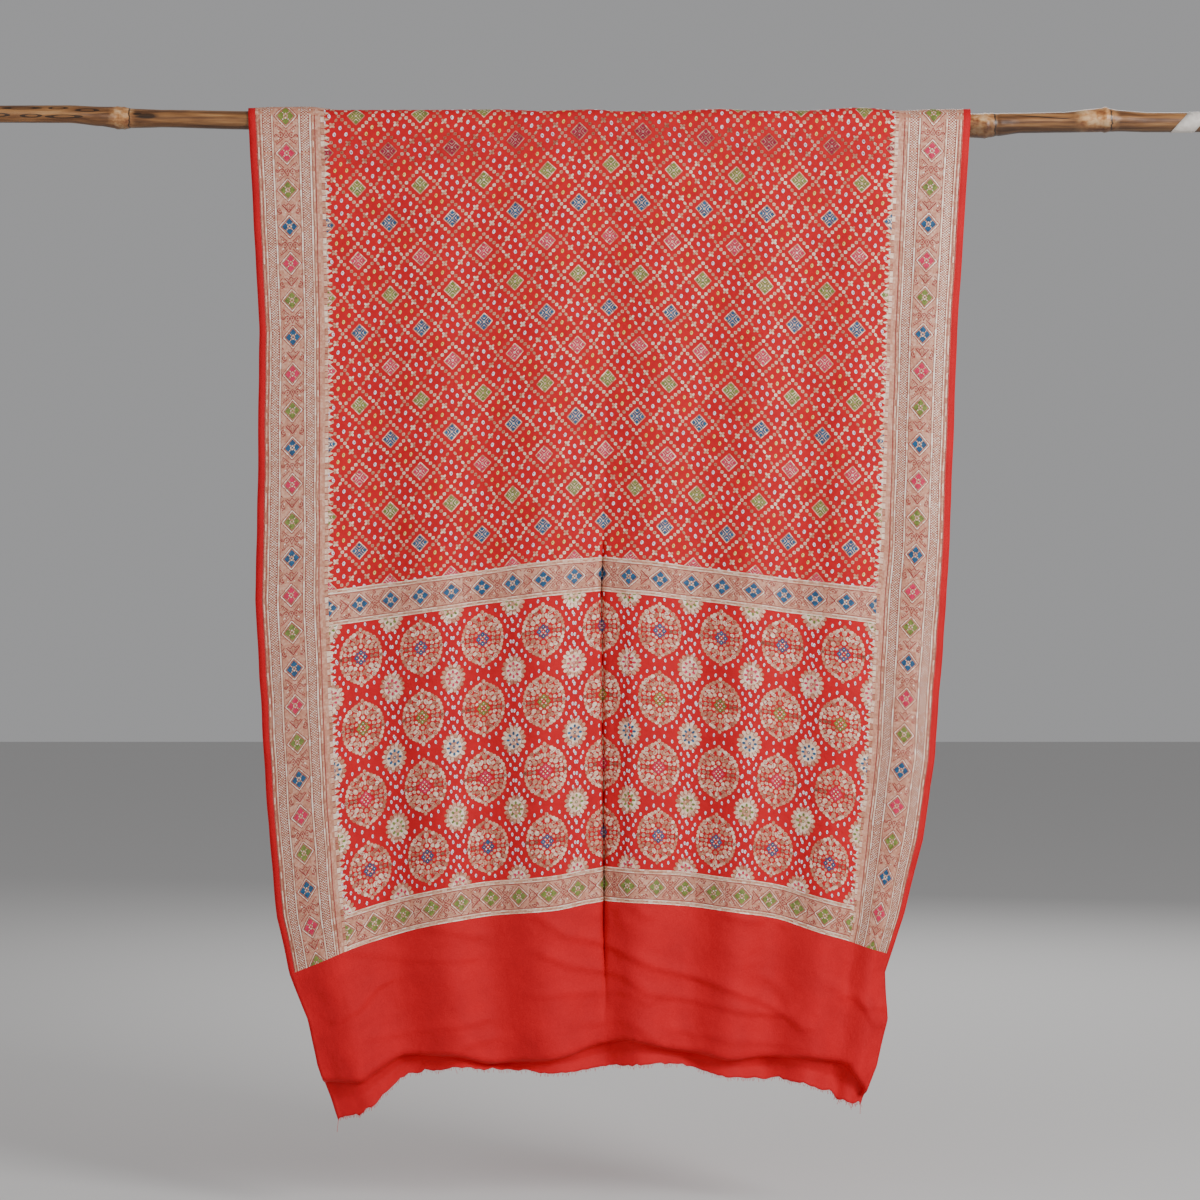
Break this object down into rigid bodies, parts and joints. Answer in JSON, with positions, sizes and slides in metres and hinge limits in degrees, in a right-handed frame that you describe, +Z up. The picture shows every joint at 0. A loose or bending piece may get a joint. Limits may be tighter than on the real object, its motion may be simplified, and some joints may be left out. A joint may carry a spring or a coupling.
{
  "type": "bandhani cloth over a bamboo pole",
  "caption": "Long red tie-dyed and brocaded georgette cloth hung over a horizontal bamboo pole, in soft upright folds with raw ends.",
  "frame": {"origin": "on the pole's axis, under the middle of the cloth", "axes": "+X along the pole, +Z up, the front fall hangs on the -Y side"},
  "size_m": [1.578, 0.0737, 1.2957],
  "materials": {
    "georgette": "red georgette with copper-gold brocade, blue, green and magenta inlay, and tie-dyed dots",
    "bamboo": "aged brown bamboo with a dull shine, dark scorch marks and raised nodes"
  },
  "bodies": {
    "root": {"bandhani_cloth": "georgette", "bamboo_pole": "bamboo"}
  },
  "joints": []
}
